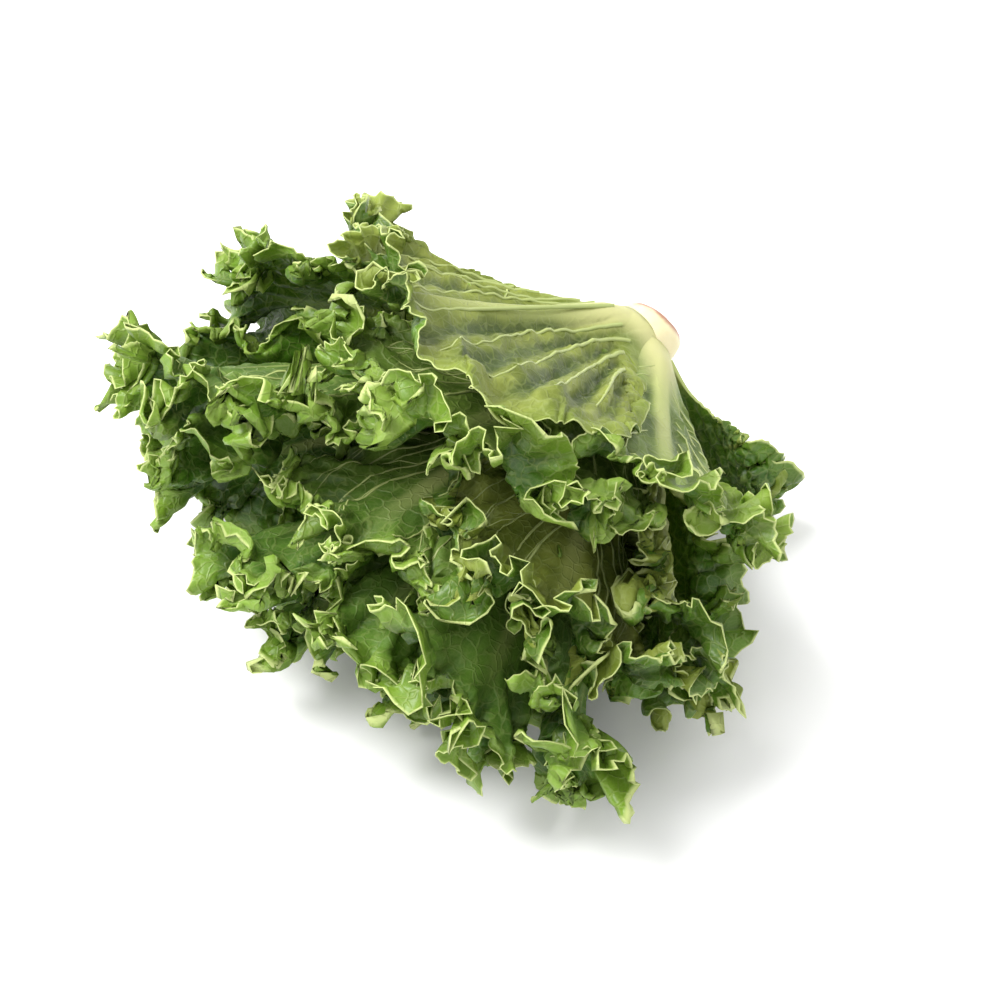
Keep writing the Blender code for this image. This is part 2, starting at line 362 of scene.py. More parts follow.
# Points out from the midrib, as shares of the way in from the margin, and how many times coarser
# each row is than the margin's
ROW_SHARES = [
    (0.0, 1), (0.005, 1), (0.011, 1), (0.019, 1), (0.029, 1), (0.041, 1), (0.055, 1), (0.072, 2),
    (0.092, 2), (0.115, 2), (0.14, 2), (0.17, 2), (0.205, 2), (0.245, 4), (0.29, 4), (0.34, 4),
    (0.40, 4), (0.46, 4), (0.53, 8), (0.61, 8), (0.70, 8), (0.79, 8), (0.87, 16), (0.93, 16),
    (0.97, 16), (1.0, 16),
]
# The leaves whose pleats show most have more rows to carry them: from and to which percent, how coarse
FINELY_PLEATED = [0, 1, 7]
PLEATED_ROWS = ROW_SHARES[:11]
for first, last, skip in ((17, 20, 2), (23, 41, 4), (44, 83, 8), (86, 95, 16)):
    PLEATED_ROWS += [(percent / 100, skip) for percent in range(first, last + 1, 3)]
PLEATED_ROWS += ROW_SHARES[-2:]


def through(values, share):
    """A smooth curve through evenly spaced values, read at shares from 0 to 1."""
    values = np.asarray(values, float)
    padded = np.concatenate([[2 * values[0] - values[1]], values, [2 * values[-1] - values[-2]]])
    at = np.clip(share, 0, 1) * (len(values) - 1)
    k = np.minimum(at.astype(int), len(values) - 2)
    f = at - k
    a, b, c, d = (padded[k + n] for n in range(4))
    return 0.5 * (2 * b + (c - a) * f + (2 * a - 5 * b + 4 * c - d) * f**2 + (3 * b - 3 * c + d - a) * f**3)


def opening(azimuth):
    """How far the outermost layer opens from the axis on this side of the head."""
    up, right = np.cos(azimuth), np.sin(azimuth)
    return (
        up**2 * np.where(up > 0, OPEN_TOP, OPEN_BOTTOM)
        + right**2 * np.where(right > 0, OPEN_RIGHT, OPEN_LEFT)
    )


def layer_angle(layer, azimuth, out):
    """The angle between the axis and a layer, at a distance out from the stem."""
    return layer * opening(azimuth) * (OPEN_AT_STEM + (1 - OPEN_AT_STEM) * ease(out / OPEN_BY))


def root_height(layer):
    """How far up the stem the leaf of a layer is rooted."""
    return HEART_ROOT + (OUTER_ROOT - HEART_ROOT) * np.minimum(layer, 1)


def root_radius(layer):
    """How far from the axis the leaf of a layer starts."""
    return np.interp(root_height(layer), STEM_HEIGHTS, STEM_RADII) + ROOT_GAP


def place(layer, azimuth, out):
    """A point of a layer on the table."""
    angle = layer_angle(layer, azimuth, out)
    radius = root_radius(layer) + out * np.sin(angle)
    along = root_height(layer) + out * np.cos(angle)
    return lie_down(along, radius, azimuth)


def wander(s, length, draw):
    """A slow, uneven wave between about -1 and 1 over a distance s."""
    total = 0.0
    for stretch, share in ((1.0, 0.5), (0.61, 0.3), (0.37, 0.2)):
        total = total + share * np.sin(2 * math.pi * s / (length * stretch) + draw.uniform(0, 6.28))
    return total * 1.3


class Leaf:
    """One leaf: its layer, its size and its large waves, by its number from the outside in."""

    def __init__(self, number):
        self.number = number
        inward = number / (LEAF_COUNT - 1)
        draw = np.random.default_rng(LEAF_SEED + number)
        self.step = LAYERS_SPAN / (LEAF_COUNT - 1)
        self.layer = 1 - self.step * number
        self.room = self.step * OWN_WAVE.get(number, 1.0)
        shift = math.radians(OWN_SHIFT_DEGREES.get(number, 0))
        self.azimuth = FIRST_AZIMUTH + number * TURN_PER_LEAF + shift
        if number == SPRUNG:
            self.layer = SPRUNG_LAYER
            self.room = SPRUNG_ROOM
            self.azimuth = SPRUNG_AZIMUTH
        angle = self.layer * opening(self.azimuth)
        side = angle * math.sin(self.azimuth) / max(OPEN_LEFT, OPEN_RIGHT)
        reach = np.interp(side, REACH_SIDES, REACH) * draw.uniform(0.96, 1.04)
        reach *= 1 - (1 - UNDERSIDE_REACH) * self.layer * max(0.0, -math.cos(self.azimuth)) ** 2
        reach *= OWN_REACH.get(number, 1.0)
        self.length = reach - root_height(self.layer) * math.cos(angle)
        self.half_width = 0.5 * (OUTER_WIDTH + (HEART_WIDTH - OUTER_WIDTH) * inward**1.5)
        girth = root_radius(self.layer) + WIDEST_UP * self.length * math.sin(angle)
        self.half_width = min(self.half_width, 1.2 * MOST_HALF_TURN * girth)
        self.phase, self.drift_phase = draw.uniform(0, 2 * math.pi, 2)
        edge = np.linspace(-1, 1, EDGE_SAMPLES)
        across, up, _ = self.flat(edge, np.ones(EDGE_SAMPLES))
        self.run = np.concatenate([[0], np.cumsum(np.hypot(np.diff(across), np.diff(up)))])

    def flat(self, t, q):
        """A place on the flat leaf: t runs from -1 to 1 round the edge, q out from the midrib."""
        across = np.sign(t) * self.half_width * through(OUTLINE_ACROSS, np.abs(t))
        up = self.length * through(OUTLINE_UP, np.abs(t))
        spine = self.length * SPINE_SHARE * (1 - np.abs(t))
        return across * q, spine + (up - spine) * q, np.hypot(across, up - spine)

    def middle(self, t, q):
        """The leaf's middle surface with its large waves, within the room between layers."""
        x, y, span = self.flat(t, q)
        around = np.interp(t, np.linspace(-1, 1, EDGE_SAMPLES), self.run)
        turns = round(self.run[-1] / WAVE_LENGTH) * around / self.run[-1]
        turns = turns + WAVE_DRIFT * np.sin(2 * math.pi * around / WAVE_DRIFT_LENGTH + self.drift_phase)
        growth = ease(1 - (1 - q) * span / np.minimum(FRILL_DEPTH, 0.95 * span))
        growth *= ease((y / self.length - WAVE_FROM) / 0.35)
        radius = root_radius(self.layer) + y * np.sin(layer_angle(self.layer, self.azimuth, y))
        turn = MOST_HALF_TURN * np.tanh(x / radius / MOST_HALF_TURN)
        room = self.room * (1.5 - ease((np.abs(turn) - 0.6) / 0.28))
        height = place(self.layer, self.azimuth + turn, y)[..., 2]
        growth *= PRESSED_WAVE + (1 - PRESSED_WAVE) * ease(height / PRESSED_BELOW)
        wave = WAVE_SHARE * room * growth * np.sin(2 * math.pi * turns + self.phase)
        azimuth = self.azimuth + turn
        return place(self.layer + wave, azimuth, y), wave * opening(azimuth) * y, azimuth

    def inside(self, azimuth, y):
        """How far inside this leaf's outline a point of its layers lies, in metres."""
        turn = (azimuth - self.azimuth + math.pi) % (2 * math.pi) - math.pi
        share = np.clip(turn / MOST_HALF_TURN, -0.995, 0.995)
        radius = root_radius(self.layer) + y * np.sin(layer_angle(self.layer, self.azimuth, y))
        x = radius * MOST_HALF_TURN * np.arctanh(share)
        half = self.half_width * np.interp(y / self.length, OUTLINE_UP[::-1], OUTLINE_ACROSS[::-1])
        return np.minimum(half - np.abs(x), self.length - y)


def unit(vectors):
    """The same directions with a length of 1."""
    return vectors / np.maximum(np.linalg.norm(vectors, axis=-1, keepdims=True), 1e-12)


def directions(points):
    """At each point of a grid: along the margin, out towards it, and square to the blade, outwards."""
    along = unit(np.gradient(points, axis=1))
    out = unit(np.gradient(points, axis=0))
    return along, out, unit(np.cross(out, along))


def margin_run(points):
    """How far along the margin each column is, in metres."""
    return np.concatenate([[0], np.cumsum(np.linalg.norm(np.diff(points[-1], axis=0), axis=1))])


def room_beside(leaf, azimuth, y):
    """How far the blade may stand out, and in, before it would meet a neighbour's blade, in metres."""
    outward, inward = np.full(y.shape, MOST_ROOM), np.full(y.shape, MOST_ROOM)
    for other in leaves:
        if other is leaf:
            continue
        gap = abs(other.layer - leaf.layer) * opening(azimuth) * y
        limit = 0.5 * gap + np.maximum(0, -other.inside(azimuth, y))
        if other.layer > leaf.layer:
            outward = np.minimum(outward, limit)
        else:
            inward = np.minimum(inward, limit)
    return outward, inward


def held_in(moved, taken, outward, inward):
    """What is left of a move off the layer where neighbours press on it; taken is used up already."""
    total = moved + taken
    bound = np.where(total > 0, outward, inward)
    return np.sign(total) * bound * np.tanh(np.abs(total) / np.maximum(bound, 1e-5)) - taken


def steadied(rows, window):
    """Rows of values without their own slow drift over more columns than the window."""
    reach = np.arange(-2 * window, 2 * window + 1)
    bell = np.exp(-0.5 * (reach / (0.55 * window)) ** 2)
    padded = np.pad(rows, ((0, 0), (2 * window, 2 * window)), mode="edge")
    return rows - np.array([np.convolve(row, bell / bell.sum(), "valid") for row in padded])


def gathered(points, depth, span, free, room, draw):
    """How far the gathers take each point along the margin and square to the blade, in metres.

    The margin runs on like a river in its loops: its direction swings from side to side, and the
    blade is longer there by what the loops take up.
    """
    s = margin_run(points)
    swing, growth = 0.0, 1.0
    for length, steep, deep in GATHERS:
        if length < 7 * s[-1] / len(s):
            continue
        phase = 2 * math.pi * s / length + 1.5 * wander(s, 4.7 * length, draw)
        phase = phase + depth / deep * wander(s, 5 * length, draw)
        reach = np.minimum(deep * (1 + 0.3 * wander(s, 3.1 * length, draw)), 0.92 * span)
        grown = np.clip(1 - depth / reach, 0, 1) ** 0.9 * free * np.tanh(room / (0.3 * length))
        steep = steep * (0.9 + 0.3 * wander(s, 2.9 * length, draw)) * grown
        swing = swing + steep * np.sin(phase)
        growth = growth / (1 - steep**2 / 4 + steep**4 / 64 - steep**6 / 2304)
    step = np.linalg.norm(np.gradient(points, axis=1), axis=-1)
    window = int(GATHERS[0][0] * len(s) / s[-1])
    forth = steadied(np.cumsum((growth * np.cos(swing) - 1) * step, axis=1), window)
    aside = steadied(np.cumsum(growth * np.sin(swing) * step, axis=1), window)
    return forth, aside


def pleat_width(y):
    """How far apart the pleats are at a height up the leaf: they fan out from its base."""
    return PLEAT_APART * (0.45 + 0.75 * ease(y / PLEAT_FAN))


def pleats(leaf, x, y, depth):
    """The lengthwise pleats, about -1 in their hollows and 1 on their ridges, and how tall they are."""
    turns = x / pleat_width(y) + 0.25 * np.sin(y / PLEAT_SWAY)
    folded = np.sin(2 * math.pi * turns) * (0.75 + 0.45 * np.sin(y / 0.014 + 2.3 * np.round(turns)))
    tall = PLEAT.get(leaf.number, LOW_PLEAT) * ease(y / 0.045) * ease(depth / 0.03) * ease(np.abs(x) / 0.008)
    return folded, tall


def ruffled(leaf, t, q):
    """The leaf's surface with its ruffles, crimps and teeth, on a grid of rows q and columns t."""
    draw = np.random.default_rng(RUFFLE_SEED + leaf.number)
    x, y, span = leaf.flat(t, q)
    depth = (1 - q) * span
    points, taken, azimuth = leaf.middle(t, q)
    outward, inward = room_beside(leaf, azimuth, y)
    height = points[..., 2]
    start = SMOOTH_UP_TO.get(leaf.number, SMOOTH_AT_BASE)
    pressed = PRESSED_FRILL + (1 - PRESSED_FRILL) * ease(height / PRESSED_FRILL_BELOW)
    free = ease((y / leaf.length - start) / FREE_WITHIN) * pressed
    side, held = TUCKED.get(leaf.number, (1, 0.0))
    tucked = held * ease((side * t - 0.02) / 0.16)
    free = free * (1 - tucked)
    along, out, square = directions(points)
    s = margin_run(points)

    # Blisters between the veins
    tall, apart = BLISTER
    row, column = 2 * math.pi * x / apart, 2 * math.pi * y / (1.2 * apart)
    rough = np.sin(row + 1.5 * np.sin(0.6 * column)) * np.sin(column + 1.5 * np.sin(0.7 * row + leaf.number))
    rough = tall * rough * ease(np.abs(x) / 0.016) * ease((y / leaf.length - 0.12) / 0.3)
    points = points + square * rough[..., None]

    # Lengthwise pleats
    folded, tall = pleats(leaf, x, y, depth)
    pleat = tall * (folded - SUNK.get(leaf.number, 0.0))
    points = points + square * pleat[..., None]

    # The outline, shorter or longer on either side
    before, after = OWN_TRIM.get(leaf.number, (0.0, 0.0))
    trim = before + (after - before) * (0.5 + 0.5 * np.tanh(t / 0.12))
    trim = trim * np.clip(1 - depth / (0.9 * span), 0, 1) ** 1.5 * ease((y / leaf.length - 0.2) / 0.4)
    points = points - out * trim[..., None]

    # The margin's outward curl, or its tuck under the head
    deep, steep, lean = CURL
    lean = OWN_LEAN.get(leaf.number, lean)
    steep = steep * (0.75 + 0.6 * wander(s, 0.09, draw)) * free * OWN_CURL.get(leaf.number, 1.0)
    share = np.clip(1 - depth / np.minimum(deep, 0.9 * span), 0, 1)
    curled = deep * steep * share**3 / 3 + share**2 * np.clip((outward - inward) / 2, -lean / 3, lean) * free
    curled = held_in(curled, taken, outward, inward) - TUCK_DEPTH * tucked * share**2
    points = points + square * curled[..., None]
    points = points - out * (deep * steep**2 * share**5 / 10)[..., None]
    taken = taken + curled

    # Gathers, pushed outwards where the layer inside leaves them no room, and the lobes' notches
    along, out, square = directions(points)
    forth, aside = gathered(points, depth, span, free, (outward + inward) / 2, draw)
    window = int(GATHERS[0][0] * len(s) / s[-1])
    reach = np.abs(aside) - steadied(np.abs(aside), window)
    aside = held_in(aside + np.clip(1.6 * reach - inward, 0, outward / 2), taken, outward, inward)
    length, tall, deep = LOBE
    share = np.clip(1 - depth / np.minimum(deep, 0.9 * span), 0, 1)
    notch = (0.5 - 0.5 * np.cos(2 * math.pi * s / length + 1.6 * wander(s, 0.12, draw))) ** 1.3
    notch = notch * (0.8 + 0.5 * wander(s, 0.08, draw)) * share**2 * free
    points = points + along * forth[..., None] + square * aside[..., None] - out * (tall * notch)[..., None]

    # Teeth
    along, out, square = directions(points)
    s = margin_run(points)
    length, tall, deep = TOOTH
    turns = s / length + 0.35 * wander(s, 0.03, draw)
    tooth = (1 - np.abs(2 * (turns % 1.0) - 1)) ** 1.8 * (0.75 + 0.5 * wander(s, 0.021, draw))
    grown = np.clip(1 - depth / np.minimum(deep, 0.9 * span), 0, 1) ** 1.5 * free
    points = points + out * (tall * grown * tooth)[..., None]
    points[..., 2] = np.maximum(points[..., 2], LOWEST)
    return points, x, y, depth


def fleshy(leaf, x, y):
    """How far the midrib and the sheathing base stand out of the back of the blade, in metres."""
    up = np.clip(y / leaf.length, 0, 1)
    rib, sheath = (
        outermost + (heart - outermost) * ease(leaf.number / HEART_FROM)
        for outermost, heart in (RIB_TALL, SHEATH_TALL)
    )
    rib = rib * (1 - up) ** 1.5 * np.exp(-(x / RIB_HALF_WIDTH) ** 2) * (0.3 + 0.7 * ease(y / 0.016))
    return rib + sheath * np.exp(-y / SHEATH_HIGH)


def stitch(first, second):
    """Triangles between two rows of points, each spread evenly over the same run."""
    faces, i, j = [], 0, 0
    while i < len(first) - 1 or j < len(second) - 1:
        if i < len(first) - 1 and (i + 1) * (len(second) - 1) <= (j + 1) * (len(first) - 1):
            faces.append((first[i + 1], first[i], second[j]))
            i += 1
        else:
            faces.append((second[j + 1], first[i], second[j]))
            j += 1
    return [face for face in faces if len(set(face)) == 3]


def make_leaf(leaf, columns):
    """A closed blade: the outer face, the inner face, and the rounded rim that joins them."""
    run = np.linspace(0, 1, columns + 1)
    t_row = np.interp(run * leaf.run[-1], leaf.run, np.linspace(-1, 1, EDGE_SAMPLES))
    row_shares = PLEATED_ROWS if leaf.number in FINELY_PLEATED else ROW_SHARES
    shares = [1 - share for share, _ in row_shares][::-1]
    skips = [skip for _, skip in row_shares][::-1]
    t, q = np.meshgrid(t_row, shares)
    points, x, y, depth = ruffled(leaf, t, q)
    points[0] = 0.5 * (points[0] + points[0, ::-1])
    _, _, square = directions(points)
    raised = LEAF_THICKNESS / 2 + fleshy(leaf, x, y)
    leaf.outer_face = (points + square * raised[..., None] - BASE, t_row, shares)

    # The mesh keeps fewer points in the rows further in, and its first row is the midrib, there and back
    index = np.full(points.shape[:2], -1)
    picked, rows = [], []
    for row, skip in enumerate(skips):
        steps = list(range(0, columns + 1, skip))
        if row == 0:
            for k in steps[:len(steps) // 2 + 1]:
                index[0, k] = index[0, columns - k] = len(picked)
                picked.append((0, k))
            rows.append([index[0, k] for k in range(0, columns + 1, skip)])
            continue
        for k in steps:
            index[row, k] = len(picked)
            picked.append((row, k))
        rows.append([index[row, k] for k in steps])
    faces = []
    for above, below in zip(rows[:-1], rows[1:]):
        faces += stitch(above, below)
    faces = np.array(faces)
    picked = np.array(picked)
    middle, x, y, depth = (grid[picked[:, 0], picked[:, 1]] for grid in (points, x, y, depth))
    # Each point's direction square to the blade
    corners = middle[faces]
    across = np.cross(corners[:, 1] - corners[:, 0], corners[:, 2] - corners[:, 0])
    normals = np.zeros_like(middle)
    for k in range(3):
        np.add.at(normals, faces[:, k], across)
    normals = unit(normals)

    # Two faces, joined by a strip wherever a triangle's edge has no neighbour
    back = middle + normals * (LEAF_THICKNESS / 2 + fleshy(leaf, x, y))[:, None]
    front = middle - normals * LEAF_THICKNESS / 2
    count = len(middle)
    triangles = faces.tolist()
    skin = triangles + [(a + count, c + count, b + count) for a, b, c in triangles]
    edges = {(face[k], face[(k + 1) % 3]) for face in triangles for k in range(3)}
    for a, b in sorted(edges):
        if (b, a) not in edges:
            skin.append((b, a, a + count, b + count))

    # Painted shade: the colour darkens in each pleat's hollow, by how deep the point lies in it, to stand in
    # for the shade in the creases
    folded, tall = pleats(leaf, x, y, depth)
    painted_crease_shade = ease(0.5 - folded) * tall / TALLEST_PLEAT
    facts = {
        "edge": np.tile(depth * 1000, 2),
        "outer": np.concatenate([np.ones(count), np.zeros(count)]),
        "up": np.tile(np.clip(y / leaf.length, 0, 1), 2),
        "rib": np.tile(np.abs(x) * 1000, 2),
        "painted_crease_shade": np.tile(painted_crease_shade, 2),
        "pale": np.full(2 * count, PALE.get(leaf.number, 0.0)),
    }
    return make_mesh(f"blade_{leaf.number + 1:02d}", np.concatenate([back, front]) - BASE, skin, facts)


# Lettuce leaf: a thin waxy skin over soft green flesh that lets light through. The inner face is a glossy
# deep green, the outer face matt and paler, the rim a thin pale line, the base nearly white.
# Painted into the colour as well: shade in the pleats' creases, and light along the frilly margin
# The patches of darker and lighter green, the pores, the sway of the fine veins, and the cells of the
# coarse and the fine net of veins, all in millimetres; how far the nets bend and the bump, in metres
BLOTCH_MM = 22.2
SPECK_MM = 2.38
DRIFT_MM = 7.69
NET_MM = 5.88
FINE_NET_MM = 1.923
NET_BEND = 0.006
BUMP_HEIGHT = 0.0006
LET_THROUGH = 0.22

leaf_material, tree = new_material("lettuce_leaf")
where = add_node(tree, "ShaderNodeTexCoord").outputs["Object"]
edge, outer, up, rib, pale, painted_crease_shade = (
    add_node(tree, "ShaderNodeAttribute", {"attribute_name": name}).outputs["Fac"]
    for name in ("edge", "outer", "up", "rib", "pale", "painted_crease_shade")
)
blotch, speck, drift = (
    add_node(tree, "ShaderNodeTexNoise", {"Scale": 1000 / size, "Detail": detail}, {"Vector": where})
    for size, detail in ((BLOTCH_MM, 3.0), (SPECK_MM, 3.0), (DRIFT_MM, 2.0))
)
bent = add_node(
    tree,
    "ShaderNodeVectorMath",
    {"operation": "MULTIPLY_ADD", 1: (NET_BEND, NET_BEND, NET_BEND)},
    {0: drift.outputs[1], 2: where},
).outputs[0]
net, fine_net = (
    add_node(
        tree, "ShaderNodeTexVoronoi", {"feature": "DISTANCE_TO_EDGE", "Scale": 1000 / size}, {"Vector": bent}
    ).outputs[0]
    for size in (NET_MM, FINE_NET_MM)
)

# What each share follows, from and to which value of it, and what the share is at either end. Edge and
# rib are millimetres from the margin and the midrib, up a share of the leaf's length, and a net's value
# is the distance from its lines in cells
RAMPS = {
    "blotched": (blotch.outputs[0], 0.35, 0.65, 0.0, 1.0),
    "net": (net, 0.0, 0.11, 1.0, 0.0),
    "fine net": (fine_net, 0.0, 0.14, 0.5, 0.0),
    "near the margin": (edge, 0.0, 15.0, 0.5, 0.0),
    "not pale": (pale, 0.0, 1.0, 1.0, 0.35),
    "near the midrib": (rib, 1.5, 6.0, 1.0, 0.0),
    "below the tip": (up, 0.45, 0.9, 0.9, 0.0),
    "lower third": (up, 0.05, 0.36, 1.0, 0.0),
    "within the petiole": (rib, 5.0, 15.0, 1.0, 0.0),
    "foot": (up, 0.02, 0.15, 1.0, 0.0),
    "rim": (edge, 0.12, 0.62, 0.9, 0.0),
    "relief": (up, 0.1, 0.5, 0.08, 0.5),
    "roughness": (outer, 0.0, 1.0, 0.36, 0.52),
    "glowing": (outer, -1.0, 1.0, 0.0, 1.0),
}
shares = {
    name: add_node(
        tree,
        "ShaderNodeMapRange",
        {"interpolation_type": "SMOOTHSTEP", 1: start, 2: end, 3: first, 4: last},
        {0: source},
    ).outputs[0]
    for name, (source, start, end, first, last) in RAMPS.items()
}
JOINED = {
    "any net": ("MAXIMUM", "net", "fine net"),
    # Painted light: a brighter green within 15 mm of the margin, weaker on the pale leaves, where the
    # exposed frills catch the light
    "painted_margin_light": ("MULTIPLY", "near the margin", "not pale"),
    "midrib": ("MULTIPLY", "near the midrib", "below the tip"),
    "petiole": ("MULTIPLY", "lower third", "within the petiole"),
    "cream": ("MAXIMUM", "petiole", "foot"),
}
for name, (operation, first, second) in JOINED.items():
    shares[name] = add_node(
        tree, "ShaderNodeMath", {"operation": operation}, {0: shares[first], 1: shares[second]}
    ).outputs[0]
# Painted shade in the pleats' creases, at most this strong, and the share of the vein net
for name, source, amount in (("painted_crease_shade", painted_crease_shade, 0.92), ("veined", shares["any net"], 0.25)):
    shares[name] = add_node(
        tree, "ShaderNodeMath", {"operation": "MULTIPLY", 1: amount}, {0: source}
    ).outputs[0]

inner_green, outer_green, pale_green = (
    add_node(
        tree,
        "ShaderNodeMix",
        {"data_type": "RGBA", 6: linear(dark), 7: linear(light)},
        {0: shares["blotched"]},
    ).outputs[2]
    for dark, light in (("#22460d", "#487419"), ("#3c621a", "#628730"), ("#64701f", "#929c42"))
)
# The outer face's own paler green, strengthened by painted light on the leaves listed in PALE
outer_green = add_node(
    tree, "ShaderNodeMix", {"data_type": "RGBA"}, {0: pale, 6: outer_green, 7: pale_green}
).outputs[2]
green = add_node(
    tree, "ShaderNodeMix", {"data_type": "RGBA"}, {0: outer, 6: inner_green, 7: outer_green}
).outputs[2]
# What lies over the green, in this order
OVER_GREEN = {
    # Painted shade: dark green in the pleats' hollows, where shade falls in the creases
    "painted_crease_shade": "#34480f",
    # Painted light: brighter yellow-green along the frilly margin, where the frills catch the light
    "painted_margin_light": "#98b83e",
    "veined": "#aebb70",
    "midrib": "#b7be76",
    "cream": "#cfcc8e",
    "rim": "#cdd88c",
}
for name, code in OVER_GREEN.items():
    green = add_node(
        tree, "ShaderNodeMix", {"data_type": "RGBA", 7: linear(code)}, {0: shares[name], 6: green}
    ).outputs[2]
lit = add_node(
    tree, "ShaderNodeMix", {"data_type": "RGBA", 7: linear("#b4d23a")}, {0: shares["glowing"], 6: green}
).outputs[2]

pores = add_node(tree, "ShaderNodeMath", {"operation": "MULTIPLY", 1: 0.5}, {0: speck.outputs[0]}).outputs[0]
relief = add_node(
    tree, "ShaderNodeMath", {"operation": "MULTIPLY_ADD", 1: 0.8}, {0: shares["net"], 2: pores}
).outputs[0]
bump = add_node(
    tree, "ShaderNodeBump", {"Distance": BUMP_HEIGHT}, {"Height": relief, "Strength": shares["relief"]}
).outputs[0]
skin = add_node(
    tree,
    "ShaderNodeBsdfPrincipled",
    {"IOR": 1.45},
    {"Base Color": green, "Roughness": shares["roughness"], "Normal": bump},
)
glow = add_node(tree, "ShaderNodeBsdfTranslucent", None, {"Color": lit})
mixed = add_node(tree, "ShaderNodeMixShader", {0: LET_THROUGH}, {1: skin.outputs[0], 2: glow.outputs[0]})
add_node(tree, "ShaderNodeOutputMaterial", None, {"Surface": mixed.outputs[0]})

# The leaves that show most have the most points along their margins
NEAR = [0, 2, 3, 5, 7, 8, 10, 11, 12, 13]
HALF_SEEN = [1, 4, 6, 14, 15, 16]
# Points along the margin
COLUMNS_NEAR = 1152
COLUMNS_HALF_SEEN = 704
COLUMNS_HIDDEN = 416
leaves = [Leaf(number) for number in range(LEAF_COUNT)]
for leaf in leaves:
    columns = COLUMNS_HIDDEN
    if leaf.number in NEAR:
        columns = COLUMNS_NEAR
    elif leaf.number in HALF_SEEN:
        columns = COLUMNS_HALF_SEEN
    blade = make_leaf(leaf, columns)
    blade.data.materials.append(leaf_material)
    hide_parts(f"leaf_{leaf.number + 1:02d}")
    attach(blade, "root")


# The raised veins
# Fleshy veins that stand out on the outer face of a leaf, round in section, tapering and half sunk.
# Side veins leave the midrib low, arch up and out, fork, and thin away before the frill. On the
# topmost leaf they run lengthwise instead, along the ridges of its pleats.

VEINED = [0, 1, 2, 3, 5, 7, 8, 10, 13]
VEIN_SEED = 700
VEIN_SIDES = 4
# Lengthwise veins: how many a side, with how many points, and how thick at either end in metres
RIDGED = 0
RIDGE_VEINS = 5
RIDGE_POINTS = 60
RIDGE_THICK = (0.00115, 0.00045)
# Side veins, and where they lie: along the margin as t and out from the midrib as q
SIDE_VEINS = 7
SIDE_POINTS = 34
SIDE_THICK = 0.00090
THINNER_EACH = 0.00006
FIRST_END = 0.04
END_APART = 0.078
SIDE_FROM = 0.09
SIDE_RISE = 0.34
# The forks of a side vein
FORKS = 3
FORK_POINTS = 14
FORK_THICK = 0.00042
FIRST_FORK = 0.22
FORK_APART = 0.17
FORK_RUN = 0.26
FORK_SPREAD = 0.20
vein_points, vein_edges, vein_widths = [], [], []


def along_grid(grid, t_row, shares, t, q):
    """Points of the blade's outer face at t and q, between the grid's own points."""
    column = np.interp(t, t_row, np.arange(len(t_row)))
    row = np.interp(q, shares, np.arange(len(shares)))
    c0 = np.minimum(column.astype(int), len(t_row) - 2)
    r0 = np.minimum(row.astype(int), len(shares) - 2)
    fc, fr = (column - c0)[:, None], (row - r0)[:, None]
    near = grid[r0, c0] * (1 - fc) + grid[r0, c0 + 1] * fc
    far = grid[r0 + 1, c0] * (1 - fc) + grid[r0 + 1, c0 + 1] * fc
    return near * (1 - fr) + far * fr


def lay_vein(leaf, t, q, thick):
    """One vein as a chain of edges, with its radius at each point."""
    grid, t_row, shares = leaf.outer_face
    chain = along_grid(grid, t_row, shares, t, q)
    first = len(vein_points)
    vein_points.extend(chain)
    vein_edges.extend((first + k, first + k + 1) for k in range(len(chain) - 1))
    vein_widths.extend(thick)


def lay_ridge_vein(leaf, side, number):
    """A long vein along the ridge of a pleat, from the leaf's base until it nears the frill."""
    t = side * np.linspace(0.90, 0.05 + 0.03 * number, RIDGE_POINTS)
    ridge = number if side > 0 else -number - 1
    q = np.full(RIDGE_POINTS, 0.3)
    across, _, _ = leaf.flat(t, np.ones(RIDGE_POINTS))
    for _ in range(12):
        _, y, _ = leaf.flat(t, q)
        q = np.clip(pleat_width(y) * (ridge + 0.25 - 0.25 * np.sin(y / PLEAT_SWAY)) / across, 0.02, 0.98)
    kept = np.flatnonzero((q > 0.05) & (q < 0.80))
    if len(kept) > 8:
        lay_vein(leaf, t[kept], q[kept], np.linspace(*RIDGE_THICK, len(kept)))


for leaf in leaves:
    if leaf.number not in VEINED:
        continue
    if leaf.number == RIDGED:
        for number in range(RIDGE_VEINS):
            lay_ridge_vein(leaf, -1, number)
            lay_ridge_vein(leaf, 1, number)
        continue
    draw = np.random.default_rng(VEIN_SEED + leaf.number)
    for side in (-1, 1):
        for k in range(SIDE_VEINS):
            end = FIRST_END + END_APART * k + draw.uniform(-0.022, 0.022)
            q = np.linspace(SIDE_FROM, draw.uniform(0.72, 0.82), SIDE_POINTS)
            rise = SIDE_RISE * (1 - q) ** 1.8
            t = side * np.minimum(end + rise + 0.006 * np.sin(q * 9 + k), 0.97)
            taper = (1 - 0.82 * q / q[-1]) * (0.4 + 0.6 * ease((q - SIDE_FROM) / 0.12))
            lay_vein(leaf, t, q, (SIDE_THICK - THINNER_EACH * k) * taper)
            for fork in range(FORKS):
                start = FIRST_FORK + FORK_APART * fork + draw.uniform(-0.03, 0.03)
                way = 1 if (fork + k) % 2 else -1
                fork_q = np.linspace(start, min(start + FORK_RUN, 0.84), FORK_POINTS)
                fork_t = np.interp(start, q, np.abs(t)) + (fork_q - start) * (way - 1) * FORK_SPREAD
                taper = 1 - 0.75 * (fork_q - start) / (fork_q[-1] - start)
                lay_vein(leaf, side * np.clip(fork_t, 0.01, 0.97), fork_q, FORK_THICK * taper)

chains = bpy.data.meshes.new("vein_paths")
chains.from_pydata([tuple(point) for point in vein_points], vein_edges, [])
widths = chains.attributes.new("thick", "FLOAT", "POINT")
widths.data.foreach_set("value", np.array(vein_widths, np.float32))
paths = bpy.data.objects.new("vein_paths", chains)
bpy.context.scene.collection.objects.link(paths)

# Vein flesh: firm, water-filled and paler than the blade it runs in
VEIN_CLOUD_MM = 11.11

